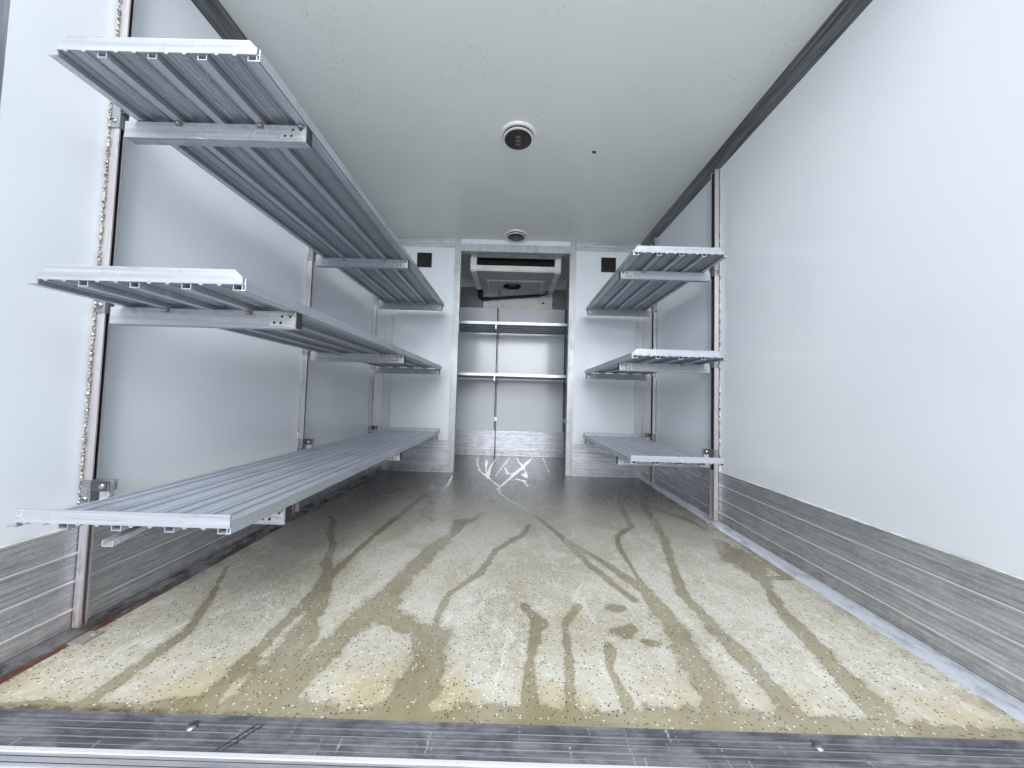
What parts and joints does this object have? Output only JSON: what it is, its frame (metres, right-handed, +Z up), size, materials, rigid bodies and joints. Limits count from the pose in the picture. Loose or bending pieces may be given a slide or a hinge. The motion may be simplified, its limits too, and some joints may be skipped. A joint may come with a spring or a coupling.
{
  "type": "refrigerated truck box body",
  "caption": "Insulated two-room load body of a small refrigerated truck with fold-up shelves, cooler, partition and rear doors folded back along its sides.",
  "frame": {"origin": "centre of the four outer chassis bolts, in the plane of the subframe's underside", "axes": "+Y forward to the cab, +X to the right when looking forward, +Z up"},
  "size_m": [2.54, 3.5716, 2.269],
  "materials": {
    "panel_skin": "white glass-reinforced gel coat, lightly marked",
    "floor_resin": "beige resin screed with dark and pale chips, wet in places",
    "subframe_paint": "dark satin paint on steel",
    "rear_frame_steel": "brushed stainless sheet",
    "tread_dark": "dark grooved tread, dusty",
    "kick_aluminium": "mottled, washed and scuffed aluminium",
    "cove_strip": "pale sealing strip, rust-stained on the left",
    "ceiling_profile": "dark grey hollow-faced profile",
    "seal_rubber": "black door gasket",
    "unit_casing": "off-white casing",
    "hose_rubber": "black insulated pipe",
    "fan_black": "black grille",
    "lamp_body": "white ring round a dark dome",
    "door_steel": "stainless door fittings",
    "shelf_aluminium": "ribbed plank extrusions, dull and scratched",
    "frame_aluminium": "bright end plates and arms",
    "profile_aluminium": "plain mill-finish profiles"
  },
  "bodies": {
    "load_body": {"bottom_rails": "profile_aluminium", "ceiling_angles": "ceiling_profile", "ceiling_lamps": "lamp_body", "chassis_feet": "subframe_paint", "condenser_housing": "unit_casing", "cooler_hose": "hose_rubber", "cooler_housing": "unit_casing", "corner_profiles": "profile_aluminium", "cross_members": "subframe_paint", "door_jambs": "profile_aluminium", "doorway_head": "profile_aluminium", "floor_covering": "floor_resin", "floor_coves": "cove_strip", "floor_panel": "panel_skin", "front_brackets": "profile_aluminium", "front_corners": "profile_aluminium", "front_shelves": "shelf_aluminium", "front_wall": "panel_skin", "hinge_feet": "door_steel", "kick_plates": "kick_aluminium", "partition_fans": "fan_black", "partition_header": "panel_skin", "partition_panel_left": "panel_skin", "partition_panel_right": "panel_skin", "partition_trim": "kick_aluminium", "pipe_cover": "unit_casing", "rear_header": "rear_frame_steel", "rear_post_left": "rear_frame_steel", "rear_post_right": "rear_frame_steel", "rear_sill": "rear_frame_steel", "roof_edges": "profile_aluminium", "roof_panel": "panel_skin", "shelf_brackets": "profile_aluminium", "side_wall_left": "panel_skin", "side_wall_right": "panel_skin", "subframe_runners": "subframe_paint", "threshold_strip": "tread_dark", "uprights": "profile_aluminium"},
    "left_low_shelf": {"shelf_left_low": "shelf_aluminium", "shelf_frame_left_low": "frame_aluminium"},
    "left_mid_shelf": {"shelf_left_mid": "shelf_aluminium", "shelf_frame_left_mid": "frame_aluminium"},
    "left_top_shelf": {"shelf_left_top": "shelf_aluminium", "shelf_frame_left_top": "frame_aluminium"},
    "left_door": {"door_leaf_left": "panel_skin", "door_seal_left": "seal_rubber", "door_gear_left": "door_steel"},
    "right_low_shelf": {"shelf_right_low": "shelf_aluminium", "shelf_frame_right_low": "frame_aluminium"},
    "right_mid_shelf": {"shelf_right_mid": "shelf_aluminium", "shelf_frame_right_mid": "frame_aluminium"},
    "right_top_shelf": {"shelf_right_top": "shelf_aluminium", "shelf_frame_right_top": "frame_aluminium"},
    "right_door": {"door_leaf_right": "panel_skin", "door_seal_right": "seal_rubber", "door_gear_right": "door_steel"}
  },
  "joints": [
    {"name": "left_low_fold", "type": "hinge", "parent": "load_body", "child": "left_low_shelf", "pos_m": [-0.992, -0.466, 0.631], "axis": [0, -1, 0], "range_deg": [0, 90]},
    {"name": "left_mid_fold", "type": "hinge", "parent": "load_body", "child": "left_mid_shelf", "pos_m": [-0.992, -0.466, 1.109], "axis": [0, -1, 0], "range_deg": [0, 90]},
    {"name": "left_top_fold", "type": "hinge", "parent": "load_body", "child": "left_top_shelf", "pos_m": [-0.992, -0.466, 1.587], "axis": [0, -1, 0], "range_deg": [0, 90]},
    {"name": "left_door_swing", "type": "hinge", "parent": "load_body", "child": "left_door", "pos_m": [-1.175, -1.666, 1.266], "axis": [0, 0, 1], "range_deg": [0, 270]},
    {"name": "right_low_fold", "type": "hinge", "parent": "load_body", "child": "right_low_shelf", "pos_m": [0.992, -0.466, 0.631], "axis": [0, 1, 0], "range_deg": [0, 90]},
    {"name": "right_mid_fold", "type": "hinge", "parent": "load_body", "child": "right_mid_shelf", "pos_m": [0.992, -0.466, 1.109], "axis": [0, 1, 0], "range_deg": [0, 90]},
    {"name": "right_top_fold", "type": "hinge", "parent": "load_body", "child": "right_top_shelf", "pos_m": [0.992, -0.466, 1.587], "axis": [0, 1, 0], "range_deg": [0, 90]},
    {"name": "right_door_swing", "type": "hinge", "parent": "load_body", "child": "right_door", "pos_m": [1.175, -1.666, 1.266], "axis": [0, 0, -1], "range_deg": [0, 270]}
  ],
  "couplings": [
    {"joint": "left_low_fold", "follows": "left_top_fold", "ratio": 1},
    {"joint": "left_mid_fold", "follows": "left_top_fold", "ratio": 1},
    {"joint": "right_low_fold", "follows": "right_top_fold", "ratio": 1},
    {"joint": "right_mid_fold", "follows": "right_top_fold", "ratio": 1}
  ]
}
